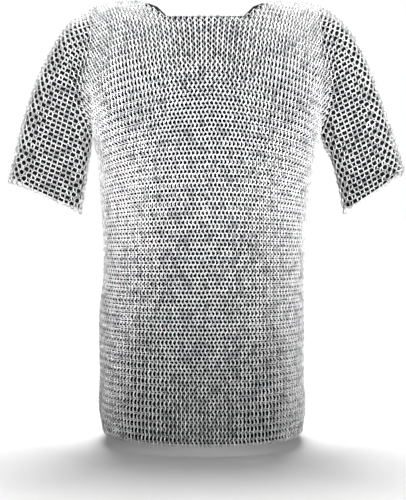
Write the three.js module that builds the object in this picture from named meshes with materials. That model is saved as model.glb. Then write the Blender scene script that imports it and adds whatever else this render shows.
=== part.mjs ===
// Chainmail hauberk with half sleeves, in the hollow form that it keeps when it is worn.
// Millimetres, +Z up, front towards -Y. Heights are measured up from the hem. The origin lies midway
// between the two shoulder ridges, where a wearer or a stand carries the garment.

import * as THREE from 'three';

// The layer of linked rings
const wall = 6;
const seamGap = 0.3;
const armholeGap = 0.45; // across the garment, where the sleeves slant to a closer true gap

// Heights that the pieces share
const shoulderHeight = 838;
const frontNeckHeight = 797;
const backNeckHeight = 820;

// Neck opening, half widths
const neckHalfWidthAtRidge = 113;
const neckHalfWidthInFront = 73;
const neckHalfWidthBehind = 84;

// Height of the ridge that the front and back share, by distance from the middle
const ridge = [
  { x: 0, z: 858 },
  { x: 113, z: 847 },
  { x: 170, z: 841 },
];

// Body of the garment, a row for each height from the hem to the armpits
const torso = [
  { z: 0, rightSide: 204, leftSide: 195, frontDepth: 136, backDepth: 130 },
  { z: 45, rightSide: 211, leftSide: 200, frontDepth: 138, backDepth: 132 },
  { z: 107, rightSide: 209, leftSide: 197, frontDepth: 138, backDepth: 131 },
  { z: 235, rightSide: 209, leftSide: 197, frontDepth: 137, backDepth: 129 },
  { z: 300, rightSide: 201, leftSide: 197, frontDepth: 137, backDepth: 128 },
  { z: 370, rightSide: 200, leftSide: 198, frontDepth: 139, backDepth: 130 },
  { z: 460, rightSide: 205, leftSide: 204, frontDepth: 143, backDepth: 135 },
  { z: 520, rightSide: 209, leftSide: 213, frontDepth: 145, backDepth: 139 },
  { z: 582, rightSide: 221, leftSide: 227, frontDepth: 145, backDepth: 141 },
];
const bodyRoundness = 2.3;

// Depth that the armhole loop reaches on each side of the shoulder ridge
const armholeDepth = 82;
const armholeFullness = 0.6;
const chestBlend = 3;

// How the upper front and back lean in towards the ridge: 1 is round, 2 is a straighter slope
const slopeInMiddle = 2;
const slopeAtArmhole = 1;

// Sleeves, a row for each section from the armhole to the cuff: where its outer and under edge lie,
// measured outwards from the middle, and how far it reaches in front of and behind the arm's axis
const rightSleeve = [
  { along: 0, outerX: 214, outerZ: 830, underX: 221, underZ: 582, depth: 82 },
  { along: 0.2, outerX: 266, outerZ: 799, underX: 223, underZ: 577, depth: 80 },
  { along: 0.4, outerX: 306, outerZ: 741, underX: 226, underZ: 562, depth: 77 },
  { along: 0.6, outerX: 342, outerZ: 663, underX: 230, underZ: 534, depth: 72 },
  { along: 0.8, outerX: 368, outerZ: 581, underX: 237, underZ: 487, depth: 68 },
  { along: 1, outerX: 390, outerZ: 495, underX: 246, underZ: 431, depth: 64 },
];
const leftSleeve = [
  { along: 0, outerX: 216, outerZ: 836, underX: 227, underZ: 582, depth: 82 },
  { along: 0.2, outerX: 258, outerZ: 811, underX: 231, underZ: 573, depth: 80 },
  { along: 0.4, outerX: 300, outerZ: 761, underX: 239, underZ: 556, depth: 77 },
  { along: 0.6, outerX: 333, outerZ: 690, underX: 254, underZ: 529, depth: 72 },
  { along: 0.8, outerX: 366, outerZ: 600, underX: 266, underZ: 481, depth: 68 },
  { along: 1, outerX: 396, outerZ: 511, underX: 276, underZ: 431, depth: 64 },
];

// The wearer's right is on -X and left on +X
const sides = {
  right: { sign: -1, torsoColumn: 'rightSide', sleeve: rightSleeve },
  left: { sign: 1, torsoColumn: 'leftSide', sleeve: leftSleeve },
};
const layers = {
  front: { sign: -1, depthColumn: 'frontDepth', neckHeight: frontNeckHeight, neckHalfWidth: neckHalfWidthInFront },
  back: { sign: 1, depthColumn: 'backDepth', neckHeight: backNeckHeight, neckHalfWidth: neckHalfWidthBehind },
};

// How finely the walls are divided
const stepsUpBody = 14;
const stepsOverShoulder = 12;
const stepsToNeckCorner = 4;
const stepsAlongNeckSlope = 2;
const stepsToArmhole = 6;
const stepsAlongSleeve = 11;

const armpitHeight = torso[torso.length - 1].z;
const quarterTurn = Math.PI / 2;
const mix = (a, b, share) => a + (b - a) * share;
const ease = (share) => share * share * (3 - 2 * share);
const range = (count) => Array.from({ length: count }, (_, index) => index);

// A table column read at any value of its key, through a smooth curve past the rows
function readTable(table, key, value, column) {
  const last = table.length - 1;
  const found = table.findIndex((row) => row[key] > value);
  const upper = found < 0 ? last : Math.max(found, 1);
  const lower = upper - 1;
  const slope = (index) => {
    const before = table[Math.max(index - 1, 0)];
    const after = table[Math.min(index + 1, last)];
    return (after[column] - before[column]) / (after[key] - before[key]);
  };
  const span = table[upper][key] - table[lower][key];
  const share = Math.min(Math.max((value - table[lower][key]) / span, 0), 1);
  const rise = ease(share);
  const startPull = share * (1 - share) * (1 - share) * span * slope(lower);
  const endPull = share * share * (1 - share) * span * slope(upper);
  return mix(table[lower][column], table[upper][column], rise) + startPull - endPull;
}

// Height of the shoulder ridge over a place x, out to the armhole of that side
function ridgeHeight(side, x) {
  const armholeTop = { x: side.sleeve[0].outerX, z: side.sleeve[0].outerZ };
  return readTable([...ridge, armholeTop], 'x', Math.abs(x), 'z');
}

// Half of the armhole loop: rise runs from 0 under the arm to 1 on the ridge
function armholeSection(rise) {
  const angle = rise * quarterTurn;
  const peak = Math.atan(Math.sqrt(armholeFullness));
  const fullness = (a) => Math.pow(Math.sin(a), armholeFullness) * Math.cos(a);
  return { across: Math.sin(angle), depth: fullness(angle) / fullness(peak) };
}

// Point of the body below the armpits: turn runs from 0 in the middle to 1 at the side
function bodyPoint(side, layer, turn, z, inset) {
  const power = 2 / bodyRoundness;
  const width = readTable(torso, 'z', z, side.torsoColumn) - inset;
  const depth = readTable(torso, 'z', z, layer.depthColumn) - inset;
  const x = width * Math.pow(Math.sin(turn * quarterTurn), power);
  const y = depth * Math.pow(Math.max(Math.cos(turn * quarterTurn), 0), power);
  return new THREE.Vector3(side.sign * x, layer.sign * (y + seamGap / 2), z);
}

// Point of the body above the armpits: rise runs from 0 at the armpit to 1 on the shoulder ridge
function shoulderPoint(side, layer, turn, rise, inset) {
  const power = 2 / bodyRoundness;
  const angle = turn * quarterTurn;
  const lift = Math.sin(rise * quarterTurn);
  const edge = mix(side.sleeve[0].underX, side.sleeve[0].outerX, lift) - armholeGap / 2;
  const width = rise > 0 ? edge : edge - inset;
  const x = width * Math.pow(Math.sin(angle), power);
  const base = rise > 0 ? armpitHeight + inset * Math.sin(angle) : armpitHeight;
  const z = mix(base, ridgeHeight(side, x) - inset, lift);
  const closing = Math.pow(Math.cos(rise * quarterTurn), mix(slopeInMiddle, slopeAtArmhole, x / width));
  const chest = (torso[torso.length - 1][layer.depthColumn] - inset)
    * Math.pow(Math.max(Math.cos(angle), 0), power) * closing;
  const arm = (armholeDepth - inset) * armholeSection(rise).depth * Math.sin(angle);
  const y = Math.pow(Math.pow(chest, chestBlend) + Math.pow(arm, chestBlend), 1 / chestBlend);
  return new THREE.Vector3(side.sign * x, layer.sign * (y + seamGap / 2), z);
}

// Point of a sleeve: along runs from the armhole to the cuff, rise from the under edge to the outer one
function sleevePoint(side, layer, along, rise, inset) {
  const read = (column) => readTable(side.sleeve, 'along', along, column);
  const under = new THREE.Vector2(read('underX'), read('underZ'));
  const outer = new THREE.Vector2(read('outerX'), read('outerZ'));
  const width = under.distanceTo(outer);
  const round = ease(Math.min(along * 2, 1));
  const start = armholeSection(rise);
  const across = mix(start.across, (1 - Math.cos(rise * Math.PI)) / 2, round);
  const depth = mix(start.depth, Math.sin(rise * Math.PI), round) * (read('depth') - inset);
  const place = under.lerp(outer, mix(inset / width, 1 - inset / width, across));
  const x = place.x + (along === 0 ? armholeGap / 2 : 0);
  return new THREE.Vector3(side.sign * x, layer.sign * depth, place.y);
}

// How far up the shoulder a column of the front or back reaches before the neck cuts it off
function neckRise(side, layer, turn) {
  const x = shoulderPoint(side, layer, turn, 1, 0).x * side.sign;
  const edgeRise = (place) => {
    const lift = (layer.neckHeight - armpitHeight) / (ridgeHeight(side, place) - armpitHeight);
    return Math.asin(lift) / quarterTurn;
  };
  const slope = (x - layer.neckHalfWidth) / (neckHalfWidthAtRidge - layer.neckHalfWidth);
  const corner = edgeRise(layer.neckHalfWidth);
  return slope <= 0 ? edgeRise(x) : mix(corner, 1, Math.min(slope, 1));
}

// Columns of one half of the front or back, closer together at the corners of the neck
function columnTurns(side, layer) {
  const width = side.sleeve[0].outerX - armholeGap / 2;
  const turnAt = (x) => Math.asin(Math.pow(x / width, bodyRoundness / 2)) / quarterTurn;
  const corner = turnAt(layer.neckHalfWidth);
  const top = turnAt(neckHalfWidthAtRidge);
  const inner = range(stepsToNeckCorner).map((step) => mix(0, corner, step / stepsToNeckCorner));
  const slope = range(stepsAlongNeckSlope).map((step) => mix(corner, top, step / stepsAlongNeckSlope));
  const rest = range(stepsToArmhole + 1).map((step) => mix(top, 1, step / stepsToArmhole));
  return [...inner, ...slope, ...rest];
}

// One column of points from the hem to the neck or the shoulder ridge
function columnPoints(side, layer, turn, inset) {
  const body = range(stepsUpBody).map((step) => {
    return bodyPoint(side, layer, turn, mix(0, armpitHeight, step / stepsUpBody), inset);
  });
  const top = neckRise(side, layer, turn);
  const shoulder = range(stepsOverShoulder + 1).map((step) => {
    return shoulderPoint(side, layer, turn, mix(0, top, step / stepsOverShoulder), inset);
  });
  return [...body, ...shoulder];
}

// Closed wall between an outer and an inner net of points, both given as columns
function wallGeometry(outer, inner, closedRound, facesOut) {
  const columns = outer.length;
  const rows = outer[0].length;
  const positions = [...outer.flat(), ...inner.flat()].flatMap((point) => point.toArray());
  const at = (net, column, row) => net * columns * rows + (column % columns) * rows + row;
  const triangles = [];
  const quad = (a, b, c, d) => triangles.push(...(facesOut ? [a, b, c, a, c, d] : [a, c, b, a, d, c]));
  const spans = closedRound ? columns : columns - 1;
  for (const column of range(spans)) {
    for (const row of range(rows - 1)) {
      quad(at(0, column, row), at(0, column + 1, row), at(0, column + 1, row + 1), at(0, column, row + 1));
      quad(at(1, column, row), at(1, column, row + 1), at(1, column + 1, row + 1), at(1, column + 1, row));
    }
    quad(at(0, column, 0), at(1, column, 0), at(1, column + 1, 0), at(0, column + 1, 0));
    const end = rows - 1;
    quad(at(0, column, end), at(0, column + 1, end), at(1, column + 1, end), at(1, column, end));
  }
  for (const row of range(closedRound ? 0 : rows - 1)) {
    const last = columns - 1;
    quad(at(0, 0, row), at(0, 0, row + 1), at(1, 0, row + 1), at(1, 0, row));
    quad(at(0, last, row), at(1, last, row), at(1, last, row + 1), at(0, last, row + 1));
  }
  const geometry = new THREE.BufferGeometry();
  geometry.setAttribute('position', new THREE.Float32BufferAttribute(positions, 3));
  geometry.setIndex(triangles);
  geometry.computeVertexNormals();
  return geometry;
}

// Front or back, from the right side seam across to the left one
function panelGeometry(layer) {
  const net = (inset) => {
    const right = columnTurns(sides.right, layer).reverse();
    const left = columnTurns(sides.left, layer).slice(1);
    return [
      ...right.map((turn) => columnPoints(sides.right, layer, turn, inset)),
      ...left.map((turn) => columnPoints(sides.left, layer, turn, inset)),
    ];
  };
  return wallGeometry(net(0), net(wall), false, layer.sign < 0);
}

// Sleeve, a tube from the armhole to the cuff, its columns running round the arm
function sleeveGeometry(side) {
  const around = (inset) => {
    const front = range(stepsOverShoulder).map((step) => ({ layer: layers.front, rise: step / stepsOverShoulder }));
    const back = range(stepsOverShoulder).map((step) => ({ layer: layers.back, rise: 1 - step / stepsOverShoulder }));
    return [...front, ...back].map(({ layer, rise }) => {
      return range(stepsAlongSleeve + 1).map((step) => {
        return sleevePoint(side, layer, step / stepsAlongSleeve, rise, inset);
      });
    });
  };
  return wallGeometry(around(0), around(wall), true, side.sign < 0);
}

// Bright zinc-plated steel wire
function mailMaterial(name) {
  return new THREE.MeshStandardMaterial({ name, color: 0xc3c5c6, roughness: 0.35, metalness: 1 });
}

function makeMail(name, geometry) {
  const mesh = new THREE.Mesh(geometry, mailMaterial('galvanised_mail'));
  mesh.name = name;
  return mesh;
}

const group = new THREE.Group();
group.name = 'chainmail_hauberk';
group.position.z = -shoulderHeight;
group.add(makeMail('front', panelGeometry(layers.front)));
group.add(makeMail('back', panelGeometry(layers.back)));
group.add(makeMail('right_sleeve', sleeveGeometry(sides.right)));
group.add(makeMail('left_sleeve', sleeveGeometry(sides.left)));

export default group;
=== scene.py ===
import bpy
import bmesh
import math
import numpy as np
from mathutils import Matrix, Vector


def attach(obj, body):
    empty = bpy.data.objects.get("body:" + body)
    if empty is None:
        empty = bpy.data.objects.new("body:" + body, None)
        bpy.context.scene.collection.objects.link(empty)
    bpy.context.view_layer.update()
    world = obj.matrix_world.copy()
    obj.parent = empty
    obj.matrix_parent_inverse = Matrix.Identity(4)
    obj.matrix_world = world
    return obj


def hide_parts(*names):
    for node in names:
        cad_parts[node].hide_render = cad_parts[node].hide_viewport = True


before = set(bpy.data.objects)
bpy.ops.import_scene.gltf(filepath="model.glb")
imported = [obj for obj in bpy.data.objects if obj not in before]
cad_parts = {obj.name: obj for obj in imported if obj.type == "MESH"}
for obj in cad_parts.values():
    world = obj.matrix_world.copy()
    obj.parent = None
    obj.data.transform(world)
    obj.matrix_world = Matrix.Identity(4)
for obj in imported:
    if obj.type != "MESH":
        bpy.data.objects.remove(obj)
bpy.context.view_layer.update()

# Everything below is in millimetres, with heights up from the hem, and turns to metres when a mesh is made
mm = 0.001
shoulderHeight = 838  # the frame's origin, over the hem
print("frame loaded")


# Camera, at the photo's angle: level with the chest, close enough to show the hem from a little above
view = {"distance": 1700, "horizon": 455, "middle": 355, "across": -4, "pictureHeight": 1000}
scene = bpy.context.scene
cameraData = bpy.data.cameras.new("camera")
camera = bpy.data.objects.new("camera", cameraData)
scene.collection.objects.link(camera)
scene.camera = camera
drop = view["horizon"] - view["middle"]
cameraData.sensor_fit = "AUTO"
cameraData.lens = cameraData.sensor_width * math.hypot(view["distance"], drop) / view["pictureHeight"]
cameraData.clip_end = 20
camera.location = Vector((view["across"], -view["distance"], view["horizon"] - shoulderHeight)) * mm
camera.rotation_euler = (math.pi / 2 - math.atan(drop / view["distance"]), 0, 0)


# Sizes of the garment, the same as in the solids
wall = 6
bodyRoundness = 2.3
armholeFullness = 0.6
chestBlend = 3
slopeInMiddle, slopeAtArmhole = 2, 1  # how the upper front and back lean in towards the ridge
neckHalfWidthAtRidge = 113

ridge = {"x": [0, 113, 170], "z": [858, 847, 841]}
torso = {
    "z": [0, 45, 107, 235, 300, 370, 460, 520, 582],
    "right": [204, 211, 209, 209, 201, 200, 205, 209, 221],
    "left": [195, 200, 197, 197, 197, 198, 204, 213, 227],
    "front": [136, 138, 138, 137, 137, 139, 143, 145, 145],
    "back": [130, 132, 131, 129, 128, 130, 135, 139, 141],
}
sleeves = {
    "right": {
        "along": [0, 0.2, 0.4, 0.6, 0.8, 1],
        "outerX": [214, 266, 306, 342, 368, 390],
        "outerZ": [830, 799, 741, 663, 581, 495],
        "underX": [221, 223, 226, 230, 237, 246],
        "underZ": [582, 577, 562, 534, 487, 431],
        "depth": [82, 80, 77, 72, 68, 64],
    },
    "left": {
        "along": [0, 0.2, 0.4, 0.6, 0.8, 1],
        "outerX": [216, 258, 300, 333, 366, 396],
        "outerZ": [836, 811, 761, 690, 600, 511],
        "underX": [227, 231, 239, 254, 266, 276],
        "underZ": [582, 573, 556, 529, 481, 431],
        "depth": [82, 80, 77, 72, 68, 64],
    },
}
roundBy = 0.5  # share of the sleeve over which the armhole's form turns into a round one
insetBy = 0.2  # share over which the under edge moves in with an inset
sideSign = {"right": -1, "left": 1}
layerSign = {"front": -1, "back": 1}
armpitHeight = torso["z"][-1]


def ease(share):
    return share * share * (3 - 2 * share)


def mix(a, b, share):
    return a + (b - a) * share


def readTable(table, key, value, column):  # a smooth curve past the rows
    keys, values = np.array(table[key], float), np.array(table[column], float)
    last = len(keys) - 1
    before, after = np.maximum(np.arange(last + 1) - 1, 0), np.minimum(np.arange(last + 1) + 1, last)
    slopes = (values[after] - values[before]) / (keys[after] - keys[before])
    value = np.clip(value, keys[0], keys[-1])
    lower = np.clip(np.searchsorted(keys, value, side="right") - 1, 0, last - 1)
    span = keys[lower + 1] - keys[lower]
    share = (value - keys[lower]) / span
    start = share * (1 - share) ** 2 * span * slopes[lower]
    end = share ** 2 * (1 - share) * span * slopes[lower + 1]
    return mix(values[lower], values[lower + 1], ease(share)) + start - end


def ridgeHeight(side, x):
    sleeve = sleeves[side]
    table = {"x": ridge["x"] + [sleeve["outerX"][0]], "z": ridge["z"] + [sleeve["outerZ"][0]]}
    return readTable(table, "x", np.abs(x), "z")


def armholeSection(rise):  # half of the armhole loop, rise runs from the armpit to the ridge
    angle = rise * math.pi / 2
    peak = math.atan(math.sqrt(armholeFullness))
    full = math.sin(peak) ** armholeFullness * math.cos(peak)
    depth = np.maximum(np.sin(angle), 0) ** armholeFullness * np.maximum(np.cos(angle), 0)
    return np.sin(angle), depth / full


def bodyPoint(side, layer, turn, z, inset):
    power = 2 / bodyRoundness
    angle = turn * math.pi / 2
    width = readTable(torso, "z", z, side) - inset
    depth = readTable(torso, "z", z, layer) - inset
    x = width * np.sin(angle) ** power
    y = depth * np.maximum(np.cos(angle), 0) ** power
    return np.stack([sideSign[side] * x, layerSign[layer] * y, z + 0 * x], axis=-1)


def shoulderPoint(side, layer, turn, rise, inset):
    power = 2 / bodyRoundness
    angle = turn * math.pi / 2
    lift = np.sin(rise * math.pi / 2)
    sleeve = sleeves[side]
    edge = mix(sleeve["underX"][0] - inset, sleeve["outerX"][0], lift)
    x = edge * np.sin(angle) ** power
    z = mix(armpitHeight + 0 * x, ridgeHeight(side, x) - inset, lift)
    closing = np.maximum(np.cos(rise * math.pi / 2), 0) ** mix(slopeInMiddle, slopeAtArmhole, x / edge)
    chest = (torso[layer][-1] - inset) * np.maximum(np.cos(angle), 0) ** power * closing
    arm = (sleeve["depth"][0] - inset) * armholeSection(rise)[1] * np.sin(angle)
    y = (chest ** chestBlend + arm ** chestBlend) ** (1 / chestBlend)
    return np.stack([sideSign[side] * x, layerSign[layer] * y, z], axis=-1)


def sleevePoint(side, layer, along, rise, inset):
    read = lambda column: readTable(sleeves[side], "along", along, column)
    underX, underZ, outerX, outerZ = read("underX"), read("underZ"), read("outerX"), read("outerZ")
    width = np.hypot(outerX - underX, outerZ - underZ)
    full = ease(np.clip(along / roundBy, 0, 1))
    startAcross, startDepth = armholeSection(rise)
    across = mix(startAcross, (1 - np.cos(rise * math.pi)) / 2, full)
    depth = mix(startDepth, np.sin(rise * math.pi), full) * (read("depth") - inset)
    leaving = ease(np.clip(along / insetBy, 0, 1))  # no step where the sleeve leaves the body
    underPart = inset / width * leaving
    share = mix(underPart, 1 - inset / width, across)
    x = mix(underX - inset * (1 - leaving) * (1 - across), outerX, share)
    z = mix(underZ, outerZ, share)
    return np.stack([sideSign[side] * x, layerSign[layer] * depth, z], axis=-1)


# The net of rings, drawn over one half of one layer. Row numbers rise from the hem and column numbers
# from the middle. Rings sit at whole columns in even rows and at half columns in odd rows, so the four
# that a ring is linked with are half a column and one row away. The tables are the pitches that a
# hanging mail shirt of this cut takes: tight rows at the hem, wide ones at the neck, and sleeves
# that hang by their links, pulled open along and across the arm.
net = {
    "columnsToSide": 36,
    "armpitRow": 80,
    "cuffLine": -24,
    "rowHeights": [0, 87, 197, 271, 381, 455, 584, 676, 740, 797, 858],
    "rowPitches": [6.6, 6.9, 7.5, 7.7, 7.9, 7.9, 7.4, 6.5, 5.5, 6.3, 7],
    "droopFrom": 430,
    "droopOver": 230,
    "widenFrom": 640,
    "widenOver": 130,
    "linkAlong": 10,
    "linkAround": 9.8,
    "tiltAtArmhole": 32,
    "tiltAtCuff": 24.6,
    "looseArmhole": 0.5,
    "looseFrom": 0.7,
    "looseRise": 1 / 3,
    "halfWidth": 215,
    "tableFullFrom": 0.5,
    "shortestEdge": 0.5,
    "firmEdge": 3000,
}
upperChest = {
    "outward": [0, 0.25, 0.5, 0.75, 0.88, 1],
    "columnPitch": [13.5, 11.5, 8.2, 6.6, 6.1, 5.8],
    "rowPitch": [6.2, 6.4, 6.8, 6.9, 7.2, 7.9],
    "droop": [0, 2, 8, 17, 26, 25],
}
steps = {"turn": 18, "body": 26, "shoulder": 16, "sleeve": 16}
finer = 4
layerMiddle = wall / 2


def surfaceGrids(side, layer, inset, times):  # points of one half of one layer: body, then sleeve
    breadth = np.sin(np.linspace(0, math.pi / 2, steps["turn"] * times + 1))[:, None]
    turns = np.arcsin(breadth ** (bodyRoundness / 2)) / (math.pi / 2)
    heights = np.linspace(0, armpitHeight, steps["body"] * times + 1)[None, :-1]
    rises = np.linspace(0, 1, steps["shoulder"] * times + 1)[None, :]
    alongs = np.linspace(0, 1, steps["sleeve"] * times + 1)[:, None]
    lower = bodyPoint(side, layer, turns, heights, inset)
    upper = shoulderPoint(side, layer, turns, rises, inset)
    return np.concatenate([lower, upper], axis=1), sleevePoint(side, layer, alongs, rises, inset)


def unit(v):
    return v / np.maximum(np.linalg.norm(v, axis=-1, keepdims=True), 1e-9)


def dot(a, b):
    return (a * b).sum(-1)


def smoothSteps(count):  # weights that fill in values between even steps along a smooth curve
    weights = np.zeros((count * finer + 1, count + 1))
    for place in range(count * finer + 1):
        lower = min(place // finer, count - 1)
        t = place / finer - lower
        pulls = (-t * (1 - t) ** 2 / 2, (1 - t) * (2 + 2 * t - 3 * t * t) / 2,
                 t * (1 + 4 * t - 3 * t * t) / 2, -t * t * (1 - t) / 2)
        for step, pull in enumerate(pulls):
            at = lower + step - 1
            inner = min(max(at, 0), count)
            if inner == at:
                weights[place, at] += pull
            else:  # past the end the values go straight on
                weights[place, inner] += 2 * pull
                weights[place, inner + (1 if at < 0 else -1)] -= pull
    return weights


def layNet(side):  # column and row numbers over the grids, as near the tables as one net can be
    body, sleeve = surfaceGrids(side, "front", layerMiddle, 1)
    below = steps["body"]
    bodyIds = np.arange(body.shape[0] * body.shape[1]).reshape(body.shape[:2])
    beyond = bodyIds.size + np.arange((sleeve.shape[0] - 1) * sleeve.shape[1]).reshape(-1, sleeve.shape[1])
    sleeveIds = np.concatenate([bodyIds[-1:, below:], beyond])
    count = bodyIds.size + beyond.size
    system, wanted = np.zeros((2 * count, 2 * count)), np.zeros(2 * count)

    def guide(ids, points, perMm, weight, base):  # neighbours differ by what the table says
        flat, flatPoints, flatPer = ids.ravel(), points.reshape(-1, 3), perMm.reshape(-1, 3)
        local = np.arange(ids.size).reshape(ids.shape)
        for first, second in ((local[:-1], local[1:]), (local[:, :-1], local[:, 1:])):
            i, j = first.ravel(), second.ravel()
            step = flatPoints[j] - flatPoints[i]
            change = dot(step, (flatPer[i] + flatPer[j]) / 2)
            pull = ((weight.ravel()[i] + weight.ravel()[j]) / 2) ** 2
            pull = pull / np.maximum(np.linalg.norm(step, axis=-1), net["shortestEdge"])
            i, j = flat[i] + base, flat[j] + base
            for one, other, sign in ((i, j, -1), (j, i, 1)):
                np.add.at(system, (one, one), pull)
                np.add.at(system, (one, other), -pull)
                np.add.at(wanted, one, sign * pull * change)

    def hold(ids, columnShare, rowShare, value):  # an edge that follows one line of the net
        firm = net["firmEdge"]
        for one, a in ((ids, columnShare), (ids + count, rowShare)):
            np.add.at(wanted, one, firm * a * value)
            for other, b in ((ids, columnShare), (ids + count, rowShare)):
                np.add.at(system, (one, other), firm * a * b)

    outward = np.clip(np.abs(body[..., 0]) / net["halfWidth"], 0, 1)
    z = body[..., 2]
    rowWay = np.gradient(body, axis=0)
    rowWay[-1] = rowWay[-2]
    rowWay = unit(rowWay)
    upWay = np.gradient(body, axis=1)
    upWay = unit(upWay - dot(upWay, rowWay)[..., None] * rowWay)
    high = ease(np.clip((z - net["droopFrom"]) / net["droopOver"], 0, 1))
    wide = ease(np.clip((z - net["widenFrom"]) / net["widenOver"], 0, 1))
    droop = (np.radians(readTable(upperChest, "outward", outward, "droop")) * high)[..., None]
    around = np.linalg.norm(np.diff(body, axis=0), axis=-1).sum(0)[None, :] / net["columnsToSide"]
    columnPitch = mix(around, readTable(upperChest, "outward", outward, "columnPitch"), wide)
    rowPitch = readTable({"z": net["rowHeights"], "pitch": net["rowPitches"]}, "z", z, "pitch")
    byTable = high * ease(np.clip(outward / net["tableFullFrom"], 0, 1))
    rowPitch = mix(rowPitch, readTable(upperChest, "outward", outward, "rowPitch"), byTable)
    rise = np.concatenate([np.zeros(below), np.linspace(0, 1, steps["shoulder"] + 1)])[None, :]
    outer = np.clip((outward - net["looseFrom"]) / (1 - net["looseFrom"]), 0, 1)
    loose = ease(np.clip(rise / net["looseRise"], 0, 1)) * ease(outer)
    weight = mix(1, net["looseArmhole"], loose)
    columnsPerMm = (np.cos(droop) * rowWay - np.sin(droop) * upWay) / columnPitch[..., None]
    rowsPerMm = (np.sin(droop) * rowWay + np.cos(droop) * upWay) / rowPitch[..., None]
    guide(bodyIds, body, columnsPerMm, weight, 0)
    guide(bodyIds, body, rowsPerMm, weight, count)

    share = np.linspace(0, 1, sleeve.shape[0])[:, None] + np.zeros((1, sleeve.shape[1]))
    aroundWay = np.gradient(sleeve, axis=1)
    aroundWay[:, 0], aroundWay[:, -1] = aroundWay[:, 1], aroundWay[:, -2]
    normal = unit(np.cross(np.gradient(sleeve, axis=0), aroundWay))
    tilt = np.radians(mix(net["tiltAtArmhole"], net["tiltAtCuff"], share))
    downWay = np.stack([sideSign[side] * np.sin(tilt), 0 * tilt, -np.cos(tilt)], -1)
    downWay = unit(downWay - dot(downWay, normal)[..., None] * normal)
    outWay = np.cross(downWay, normal)
    outWay *= np.sign(dot(outWay, aroundWay))[..., None]
    weight = mix(net["looseArmhole"], 1, ease(np.clip(share / net["looseRise"], 0, 1)))
    alongLink, aroundLink = -downWay / net["linkAlong"], outWay / net["linkAround"]
    guide(sleeveIds, sleeve, (aroundLink - alongLink) / 2, weight, 0)
    guide(sleeveIds, sleeve, aroundLink + alongLink, weight, count)

    hold(bodyIds[0], 1, 0, 0)
    hold(bodyIds[:, 0], 0, 1, 0)
    hold(bodyIds[-1, :below + 1], 1, 0, net["columnsToSide"])
    hold(sleeveIds[1:, 0], 2, 1, net["armpitRow"] + 2 * net["columnsToSide"])
    hold(bodyIds[-1, below:below + 1], 0, 1, net["armpitRow"])
    hold(sleeveIds[-1], -2, 1, net["cuffLine"])
    found = np.linalg.solve(system, wanted).reshape(2, count)
    found[0, bodyIds[0]] = 0
    found[1, bodyIds[:, 0]] = 0
    found[0, bodyIds[-1, :below + 1]] = net["columnsToSide"]
    turnFill, riseFill = smoothSteps(steps["turn"]), smoothSteps(steps["shoulder"])
    bodyFill, sleeveFill = smoothSteps(body.shape[1] - 1), smoothSteps(steps["sleeve"])
    bodyNet = [turnFill @ numbers[bodyIds] @ bodyFill.T for numbers in found]
    sleeveNet = [sleeveFill @ numbers[sleeveIds] @ riseFill.T for numbers in found]
    return bodyNet, sleeveNet


# Centre, row direction, outward normal and link length of each ring in a grid, by column and row
def placeRings(numbers, points, taken, layer, slack=1e-5):
    columns, rows = numbers
    normals = unit(np.cross(np.gradient(points, axis=0), np.gradient(points, axis=1)))
    normals *= np.sign((normals[..., 1] * layerSign[layer]).mean())
    corners = (slice(None, -1), slice(1, None))
    cells = [(0, 0), (1, 0), (1, 1), (0, 1)]
    pick = lambda values, cell: values[corners[cell[0]], corners[cell[1]]].reshape(-1, *values.shape[2:])
    found = {}
    for half in ((0, 1, 2), (0, 2, 3)):
        grids = (columns, rows, points, normals)
        u, w, p, n = (np.stack([pick(grid, cells[i]) for i in half], 1) for grid in grids)
        lowest, highest = np.ceil(w.min(1) - slack).astype(int), np.floor(w.max(1) + slack).astype(int)
        for k in np.nonzero(highest >= lowest)[0]:
            (du1, du2), (dw1, dw2) = u[k, 1:] - u[k, 0], w[k, 1:] - w[k, 0]
            det = du1 * dw2 - du2 * dw1
            if abs(det) < 1e-9:
                continue
            e1, e2 = p[k, 1] - p[k, 0], p[k, 2] - p[k, 0]
            rowWay = (dw2 * e1 - dw1 * e2) / det
            link = np.linalg.norm(np.append(rowWay / 2, (du1 * e2 - du2 * e1) / det))
            for row in range(lowest[k], highest[k] + 1):
                shift = row % 2 / 2
                first = math.ceil(u[k].min() - shift - slack)
                last = math.floor(u[k].max() - shift + slack)
                for column in range(first, last + 1):
                    a, b = column + shift - u[k, 0], row - w[k, 0]
                    s, t = (a * dw2 - b * du2) / det, (du1 * b - dw1 * a) / det
                    key = (2 * column + row % 2, row)
                    if min(s, t, 1 - s - t) < -slack or key in taken or key in found:
                        continue
                    out = unit((1 - s - t) * n[k, 0] + s * n[k, 1] + t * n[k, 2])
                    found[key] = (p[k, 0] + s * e1 + t * e2, rowWay, out, link)
    return found


# Cut of the net. The neck edge runs along a row in front and behind, then up along the links.
# The dark sheet of painted shade inside the rings follows the same edge by its height and half width.
neckCut = {
    "front": {"row": 108, "column": 7, "height": 812, "halfWidth": 69},
    "back": {"row": 110, "column": 7, "height": 817, "halfWidth": 74},
}

# Rings, each a loop of eight three-sided pieces, drawn fuller so that it covers what a round one does.
# They stand steeper where the net is tight and lie flatter where the links are stretched, and rings
# on a slope hang more upright than the slope.
ring = {"innerDiameter": 10, "wire": 1.6, "wireSides": 3, "wireFuller": 1.16, "loopSides": 8,
        "loopFuller": 1.025, "leanSpread": 3, "placeSpread": 0.22, "upright": 3, "closestAtRidge": 5}
leanByLink = {"link": [7, 7.8, 8.6, 9.2, 9.8, 10.4], "lean": [64, 59, 49, 40, 25, 20]}


def inTheCut(layer, key):
    column, row = key[0] / 2, key[1]
    cut = neckCut[layer]
    return row >= 0 and row <= cut["row"] + 2 * max(0, column - cut["column"])


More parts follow.
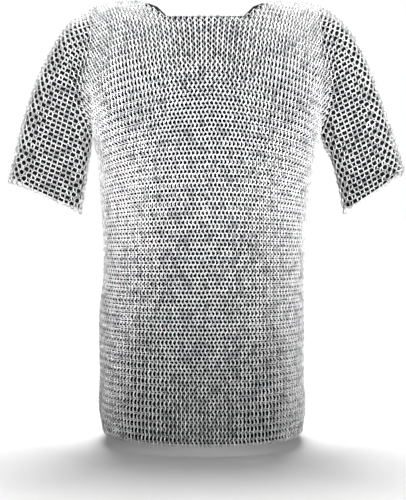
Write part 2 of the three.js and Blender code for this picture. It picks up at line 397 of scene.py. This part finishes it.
def ringShape():  # wire ring as points and faces, from a small round spun about its axis
    radius = (ring["innerDiameter"] + ring["wire"]) / 2
    wire = ring["wire"] / 2 * ring["wireFuller"]
    shape = bmesh.new()
    upwards = Matrix.Rotation(math.pi / 2, 4, "X")
    bmesh.ops.create_circle(shape, segments=ring["wireSides"], radius=wire, matrix=upwards)
    bmesh.ops.translate(shape, vec=(radius * ring["loopFuller"], 0, 0), verts=shape.verts)
    bmesh.ops.spin(shape, geom=shape.verts[:] + shape.edges[:], cent=(0, 0, 0), axis=(0, 0, 1),
                   angle=2 * math.pi, steps=ring["loopSides"])
    bmesh.ops.remove_doubles(shape, verts=shape.verts, dist=0.01)
    bmesh.ops.recalc_face_normals(shape, faces=shape.faces)
    shape.verts.index_update()
    points = np.array([v.co[:] for v in shape.verts])
    faces = np.array([[v.index for v in f.verts] for f in shape.faces if len(f.verts) == 4])
    shape.free()
    return points, faces


ringPoints, ringFaces = ringShape()
print("ring", len(ringPoints), "points", len(ringFaces), "faces")
chance = np.random.default_rng(11)


def makeMesh(name, points, faces):
    mesh = bpy.data.meshes.new(name)
    mesh.from_pydata((points - [0, 0, shoulderHeight]) * mm, [], faces)
    mesh.validate()
    piece = bpy.data.objects.new(name, mesh)
    scene.collection.objects.link(piece)
    return piece


def hangUpright(out):
    level = np.hypot(out[:, 0], out[:, 1])
    tilt = np.arctan2(out[:, 2], level)
    tilt = np.sign(tilt) * (np.abs(tilt) / (math.pi / 2)) ** ring["upright"] * math.pi / 2
    outwards = out[:, :2] / level[:, None] * np.cos(tilt)[:, None]
    return np.column_stack([outwards, np.sin(tilt)])


def ringPiece(name, parts, material, nodes):  # parts: placed rings with the way that their rows lean
    centre, rowWay, out, link, leanSign = (np.concatenate(values) for values in zip(*parts))
    count = len(centre)
    out = hangUpright(unit(out))
    leans = readTable(leanByLink, "link", link, "lean")
    rowWay = unit(rowWay - dot(rowWay, out)[:, None] * out)
    lean = np.radians(leans + chance.normal(0, ring["leanSpread"], count)) * leanSign
    lean = lean[:, None]
    centre = centre + chance.normal(0, ring["placeSpread"], (count, 3))
    columnWay = np.cross(out, rowWay)
    x = np.cos(lean) * rowWay - np.sin(lean) * out
    z = np.sin(lean) * rowWay + np.cos(lean) * out
    turned = np.stack([x, columnWay, z], axis=1)
    points = (ringPoints @ turned + centre[:, None, :]).reshape(-1, 3)
    starts = np.arange(count)[:, None, None] * len(ringPoints)
    faces = (ringFaces[None] + starts).reshape(-1, 4)
    piece = makeMesh(name, points, faces.tolist())
    piece.data.polygons.foreach_set("use_smooth", np.ones(len(faces), bool))
    tone = piece.data.attributes.new("ringTone", "FLOAT", "POINT")
    tone.data.foreach_set("value", np.repeat(chance.random(count), len(ringPoints)).astype(np.float32))
    piece.data.materials.append(material)
    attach(piece, "root")
    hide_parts(*nodes)
    print(name, count, "rings", 2 * len(faces), "triangles")
    return piece


# Colours as seen, turned to the linear values that the shaders take
def linear(hexColour):
    parts = [int(hexColour[i:i + 2], 16) / 255 for i in (0, 2, 4)]
    return [c / 12.92 if c <= 0.04045 else ((c + 0.055) / 1.055) ** 2.4 for c in parts] + [1]


def addNode(tree, kind, settings=None, links=None):  # one node with its settings and what feeds it
    node = tree.nodes.new(kind)
    for key, value in (settings or {}).items():
        if isinstance(key, int) or key in node.inputs:
            node.inputs[key].default_value = value
        else:
            setattr(node, key, value)
    for socket, source in (links or {}).items():
        tree.links.new(source, node.inputs[socket])
    return node


def newMaterial(name):
    material = bpy.data.materials.new(name)
    material.use_nodes = True
    tree = material.node_tree
    tree.nodes.clear()
    return material, tree


# Galvanised steel wire, drawn and butted: bright grey with a soft shine, each ring a little
# lighter or darker than the next, a dull bloom of zinc in patches, and painted shade where the rings lie
# close together
steel = {"light": "F2F2F2", "lightAt": 0.7, "dark": "A6A7AA", "darkAt": 0.1, "metallic": 0.7,
         "bloomSize": 71.4, "bloomShare": 0.25, "smoothest": 0.41, "bloomRoughness": 0.18,
         "creviceReach": 5, "creviceDark": 0.12, "creviceClosed": 0.15, "creviceOpen": 0.6}
steelMaterial, tree = newMaterial("galvanised_steel_wire")
tone = addNode(tree, "ShaderNodeAttribute", {"attribute_name": "ringTone"})
place = addNode(tree, "ShaderNodeTexCoord")
bloom = addNode(tree, "ShaderNodeTexNoise", {"Scale": 1 / (steel["bloomSize"] * mm), "Detail": 3},
                {"Vector": place.outputs["Object"]})
shade = addNode(tree, "ShaderNodeMath", {"operation": "MULTIPLY_ADD", 1: steel["bloomShare"]},
                {0: bloom.outputs["Fac"], 2: tone.outputs["Fac"]})
colour = addNode(tree, "ShaderNodeValToRGB", None, {"Fac": shade.outputs[0]})
for stop, name in zip(colour.color_ramp.elements, ("dark", "light")):
    stop.position, stop.color = steel[name + "At"], linear(steel[name])
dull = addNode(tree, "ShaderNodeMath", {"operation": "MULTIPLY_ADD", 1: steel["bloomRoughness"],
                                        2: steel["smoothest"]}, {0: bloom.outputs["Fac"]})
# Painted shade: the ambient occlusion node darkens the steel's colour wherever other rings lie close by
crevice = addNode(tree, "ShaderNodeAmbientOcclusion", {"samples": 4, "Distance": steel["creviceReach"] * mm})
paintedShade = addNode(tree, "ShaderNodeMapRange",
                {"From Min": steel["creviceClosed"], "From Max": steel["creviceOpen"],
                 "To Min": steel["creviceDark"]}, {"Value": crevice.outputs["AO"]})
shadedColour = addNode(tree, "ShaderNodeVectorMath", {"operation": "SCALE"},
                  {"Vector": colour.outputs["Color"], "Scale": paintedShade.outputs[0]})
surface = addNode(tree, "ShaderNodeBsdfPrincipled", {"Metallic": steel["metallic"]},
                  {"Base Color": shadedColour.outputs[0], "Roughness": dull.outputs[0]})
addNode(tree, "ShaderNodeOutputMaterial", None, {"Surface": surface.outputs[0]})

# Painted shade: a black sheet with a woven bump and nearly no shine stands for the shadowed inside of
# the shirt, so that every gap between the rings reads as a dark hole.
# Its threads are drawn coarser than real 0.5 mm ones, so that they show.
shadeCloth = {"colour": "08080A", "threadPitch": 3.14, "threadDepth": 0.1, "relief": 0.2, "roughness": 0.95,
          "shine": 0.1}
waveLength = math.tau / 20  # metres between the bands of a wave texture at scale 1
# Painted shade: near-black colour standing for the shadowed inside of the shirt
shadeClothMaterial, tree = newMaterial("black_shade_cloth")
place = addNode(tree, "ShaderNodeTexCoord")
threads = addNode(tree, "ShaderNodeTexWave", {"Scale": waveLength / (shadeCloth["threadPitch"] * mm),
                                              "bands_direction": "Z"}, {"Vector": place.outputs["Object"]})
weave = addNode(tree, "ShaderNodeBump",
                {"Strength": shadeCloth["relief"], "Distance": shadeCloth["threadDepth"] * mm},
                {"Height": threads.outputs["Fac"]})
surface = addNode(tree, "ShaderNodeBsdfPrincipled",
                  {"Base Color": linear(shadeCloth["colour"]), "Roughness": shadeCloth["roughness"],
                   "Specular IOR Level": shadeCloth["shine"]}, {"Normal": weave.outputs[0]})
addNode(tree, "ShaderNodeOutputMaterial", None, {"Surface": surface.outputs[0]})
print("materials made")


# The mail: rings placed by side, layer and part
found = {}
for side in ("right", "left"):
    bodyNet, sleeveNet = layNet(side)
    for layer in ("front", "back"):
        body, sleeve = surfaceGrids(side, layer, layerMiddle, finer)
        shared = set()
        if layer == "back":  # rings on the side seam and under the arm are the front's
            for key in {**found[side, "front", "body"], **found[side, "front", "sleeve"]}:
                column, row = key[0] / 2, key[1]
                onSide = column == net["columnsToSide"]
                underArm = row + 2 * column == net["armpitRow"] + 2 * net["columnsToSide"]
                if onSide or (underArm and column >= net["columnsToSide"]):
                    shared.add(key)
        if side == "left":
            shared |= {key for key in found["right", layer, "body"] if key[0] == 0}
        onBody = placeRings(bodyNet, body, shared, layer)
        onSleeve = placeRings(sleeveNet, sleeve, shared | set(onBody), layer)
        found[side, layer, "body"] = {key: value for key, value in onBody.items() if inTheCut(layer, key)}
        cuff = net["cuffLine"] + (2 if layer == "front" else 0)  # the back hangs one ring lower
        found[side, layer, "sleeve"] = {k: v for k, v in onSleeve.items() if k[1] - k[0] >= cuff}
        print("rings placed", side, layer)


def ringArrays(side, layer, part):
    rings = found[side, layer, part]
    centre, rowWay, out, link = (np.array(values) for values in zip(*rings.values()))
    rowsLean = np.array([1 - 2 * (key[1] % 2) for key in rings])
    leanSign = rowsLean * sideSign[side] * layerSign[layer]
    if layer == "back":  # where the back meets the front at the ridge, the front's rings stay
        onFront = [*found[side, "front", "body"].values(), *found[side, "front", "sleeve"].values()]
        front = np.array([value[0] for value in onFront])
        band = 3 * ring["closestAtRidge"]
        front = front[np.abs(front[:, 1]) < band]
        high = np.abs(centre[:, 1]) < band
        near = np.zeros(len(centre), bool)
        gaps = np.linalg.norm(centre[high][:, None] - front[None], axis=-1).min(1)
        near[high] = gaps < ring["closestAtRidge"]
        centre, rowWay, out, link, leanSign = (v[~near] for v in (centre, rowWay, out, link, leanSign))
    return centre, rowWay, out, link, leanSign


for layer in ("front", "back"):
    for side in ("right", "left"):
        parts = [ringArrays(side, layer, "body")]
        ringPiece(f"mail_{layer}_{side}", parts, steelMaterial, [layer])
for side in ("right", "left"):
    parts = [ringArrays(side, layer, "sleeve") for layer in ("front", "back")]
    ringPiece(f"mail_{side}_sleeve", parts, steelMaterial, [f"{side}_sleeve"])


# Painted shade: a black sheet just inside the rings stands for the shadowed inside of the shirt.
# It hangs just past the lowest row, ends in the top row at the neck,
# and stops a little short along the neck's slopes and at the cuffs.
shadeSheet = {"inset": 7, "thickness": 0.8, "pastHem": 2, "shortAtNeck": 6, "shortAtCuff": 0.02,
          "turns": 16, "heights": 20, "rises": 16, "alongs": 14,
          "bodyCut": (0.6, 0.9), "sleeveCut": (0.64, 0.38)}  # the cuts in metres


def neckRise(side, layer, turn):  # how far up the shoulder a column reaches before the neck cuts it off
    cut = neckCut[layer]
    height, halfWidth = cut["height"], cut["halfWidth"] + shadeSheet["shortAtNeck"]
    ridgeWidth = neckHalfWidthAtRidge + shadeSheet["shortAtNeck"]
    place = abs(shoulderPoint(side, layer, np.array([turn]), np.array([1.0]), shadeSheet["inset"])[0, 0])
    share = (height - armpitHeight) / (float(ridgeHeight(side, min(place, halfWidth))) - armpitHeight)
    slope = (place - halfWidth) / (ridgeWidth - halfWidth)
    return mix(math.asin(share) / (math.pi / 2), 1, min(max(slope, 0), 1))


def gridFaces(columns, rows, offset=0, flip=False):
    faces = []
    for i in range(columns - 1):
        for j in range(rows - 1):
            a = offset + i * rows + j
            face = [a, a + rows, a + rows + 1, a + 1]
            faces.append(face[::-1] if flip else face)
    return faces


# One dark sheet of painted shade, made from its grids and given thickness
def shadeSheetPiece(name, grids):
    points, faces, offset = [], [], 0
    for grid, flip in grids:
        points.append(grid.reshape(-1, 3))
        faces += gridFaces(grid.shape[0], grid.shape[1], offset, flip)
        offset += grid.shape[0] * grid.shape[1]
    piece = makeMesh(name, np.concatenate(points), faces)
    cloth = bmesh.new()
    cloth.from_mesh(piece.data)
    bmesh.ops.remove_doubles(cloth, verts=cloth.verts, dist=0.2 * mm)
    bmesh.ops.dissolve_degenerate(cloth, edges=cloth.edges, dist=0.1 * mm)
    bmesh.ops.solidify(cloth, geom=cloth.faces[:], thickness=shadeSheet["thickness"] * mm)
    bmesh.ops.recalc_face_normals(cloth, faces=cloth.faces)
    cloth.to_mesh(piece.data)
    cloth.free()
    for face in piece.data.polygons:
        face.use_smooth = True
    piece.data.materials.append(shadeClothMaterial)
    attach(piece, "root")


# Painted shade: dark sheets inside the front, the back and the sleeves
for layer in ("front", "back"):
    grids = []
    for side in ("right", "left"):
        columns = []
        for turn in np.linspace(0, 1, shadeSheet["turns"] + 1):
            heights = np.linspace(-shadeSheet["pastHem"], armpitHeight, shadeSheet["heights"] + 1)[:-1]
            rises = np.linspace(0, neckRise(side, layer, turn), shadeSheet["rises"] + 1)
            low = bodyPoint(side, layer, turn + 0 * heights, heights, shadeSheet["inset"])
            high = shoulderPoint(side, layer, turn + 0 * rises, rises, shadeSheet["inset"])
            columns.append(np.concatenate([low, high]))
        grids.append((np.array(columns), (side == "right") != (layer == "front")))
    shadeSheetPiece(f"lining_{layer}", grids)
for side in ("right", "left"):
    alongs = np.linspace(0, 1 - shadeSheet["shortAtCuff"], shadeSheet["alongs"] + 1)[:, None]
    rises = np.linspace(0, 1, shadeSheet["rises"] + 1)[None, :]
    grids = []
    for layer in ("front", "back"):
        grid = sleevePoint(side, layer, alongs, rises, shadeSheet["inset"])
        grids.append((grid, (side == "right") != (layer == "front")))
    shadeSheetPiece(f"lining_{side}_sleeve", grids)
print("lining made")


# Studio: a pale floor just below the hanging hem, a broad overhead light a little behind the garment and
# a soft narrow one in front. The camera sees white all round, while what lights the garment is dim: a
# little brighter in front than behind, and dark overhead.
studio = {"floorDrop": 25, "floorSize": 200, "floorColour": "F2F2F2", "backdrop": 1.0,
          "front": 0.16, "frontFrom": -0.9, "behind": 0.06, "behindFrom": 0.2,
          "ceiling": 0.02, "ceilingFrom": 0.25, "ceilingFull": 0.55,
          "sun": 3.9, "sunSpread": 32, "sunBehind": 19,
          "frontPower": 12, "frontWidth": 0.9, "frontHeight": 0.9, "frontSpread": 27,
          "frontPlace": (0.35, -3, 0.1), "frontAim": (0.03, 0, -0.2)}
floorHeight = -(shoulderHeight + studio["floorDrop"]) * mm
bpy.ops.mesh.primitive_plane_add(size=studio["floorSize"], location=(0, 0, floorHeight))
floor = bpy.context.object
floor.name = "floor"
floor.visible_glossy = False  # keeps the floor out of the shine on the rings
paper, tree = newMaterial("white_paper")
surface = addNode(tree, "ShaderNodeBsdfDiffuse", {"Color": linear(studio["floorColour"])})
addNode(tree, "ShaderNodeOutputMaterial", None, {"Surface": surface.outputs[0]})
floor.data.materials.append(paper)

world = bpy.data.worlds.new("studio")
scene.world = world
world.use_nodes = True
tree = world.node_tree
tree.nodes.clear()
way = addNode(tree, "ShaderNodeTexCoord")
direction = addNode(tree, "ShaderNodeSeparateXYZ", None, {0: way.outputs["Generated"]})
level = addNode(tree, "ShaderNodeMapRange",
                {"From Min": studio["frontFrom"], "From Max": studio["behindFrom"],
                 "To Min": studio["front"], "To Max": studio["behind"]}, {"Value": direction.outputs["Y"]})
dim = addNode(tree, "ShaderNodeMapRange",
              {"From Min": studio["ceilingFrom"], "From Max": studio["ceilingFull"],
               "To Max": studio["ceiling"]}, {"Value": direction.outputs["Z"], "To Min": level.outputs[0]})
seen = addNode(tree, "ShaderNodeLightPath")
strength = addNode(tree, "ShaderNodeMix", {"B": studio["backdrop"]},
                   {"Factor": seen.outputs["Is Camera Ray"], "A": dim.outputs[0]})
glow = addNode(tree, "ShaderNodeBackground", {"Color": (1, 1, 1, 1)}, {"Strength": strength.outputs[0]})
addNode(tree, "ShaderNodeOutputWorld", None, {"Surface": glow.outputs[0]})

overheadData = bpy.data.lights.new("overhead", "SUN")
overheadData.energy, overheadData.angle = studio["sun"], math.radians(studio["sunSpread"])
overhead = bpy.data.objects.new("overhead", overheadData)
overhead.rotation_euler = (-math.radians(studio["sunBehind"]), 0, 0)
scene.collection.objects.link(overhead)
frontData = bpy.data.lights.new("front", "AREA")
frontData.shape = "RECTANGLE"
frontData.energy = studio["frontPower"]
frontData.size, frontData.size_y = studio["frontWidth"], studio["frontHeight"]
frontData.spread = math.radians(studio["frontSpread"])
front = bpy.data.objects.new("front", frontData)
front.location = studio["frontPlace"]
front.rotation_euler = (Vector(studio["frontAim"]) - front.location).to_track_quat("-Z", "Y").to_euler()
scene.collection.objects.link(front)
scene.view_settings.view_transform = "Standard"
print("studio set")
